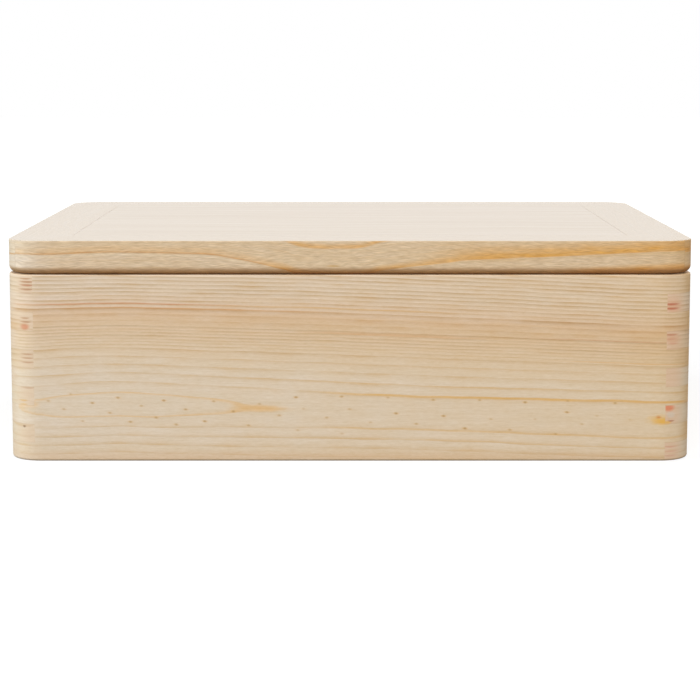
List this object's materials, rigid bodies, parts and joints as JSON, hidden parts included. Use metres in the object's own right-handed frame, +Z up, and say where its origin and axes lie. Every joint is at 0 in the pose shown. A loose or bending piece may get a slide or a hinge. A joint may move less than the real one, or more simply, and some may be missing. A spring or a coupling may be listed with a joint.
{
  "type": "wooden toy box",
  "caption": "Low rectangular pine box with rounded upright corners, finger-jointed boards and a thick hinged lid.",
  "frame": {"origin": "middle of the box's outline, on the surface that it stands on", "axes": "+X to the right along the long side, +Y towards the hinged back, +Z up"},
  "size_m": [0.4, 0.3009, 0.1293],
  "materials": {
    "pine": "raw sanded pine, satin",
    "plywood": "raw sanded birch-faced plywood",
    "hinge_brass": "brass-plated steel, lightly brushed",
    "zinc_steel": "bright zinc plating"
  },
  "bodies": {
    "box": {"front_board": "pine", "right_side_board": "pine", "back_board": "pine", "left_side_board": "pine", "bottom_panel": "plywood", "bottom_panel_pins": "zinc_steel", "left_hinge_box_leaf": "hinge_brass", "left_hinge_pin": "hinge_brass", "left_hinge_box_screws": "zinc_steel", "right_hinge_box_leaf": "hinge_brass", "right_hinge_pin": "hinge_brass", "right_hinge_box_screws": "zinc_steel"},
    "lid": {"lid_front_rail": "pine", "lid_right_rail": "pine", "lid_back_rail": "pine", "lid_left_rail": "pine", "lid_panel": "plywood", "left_hinge_lid_leaf": "hinge_brass", "left_hinge_lid_screws": "zinc_steel", "right_hinge_lid_leaf": "hinge_brass", "right_hinge_lid_screws": "zinc_steel"}
  },
  "joints": [
    {"name": "lid_hinge", "type": "hinge", "parent": "box", "child": "lid", "pos_m": [0, 0.14875, 0.1097], "axis": [-1, 0, 0], "range_deg": [0, 105]}
  ]
}
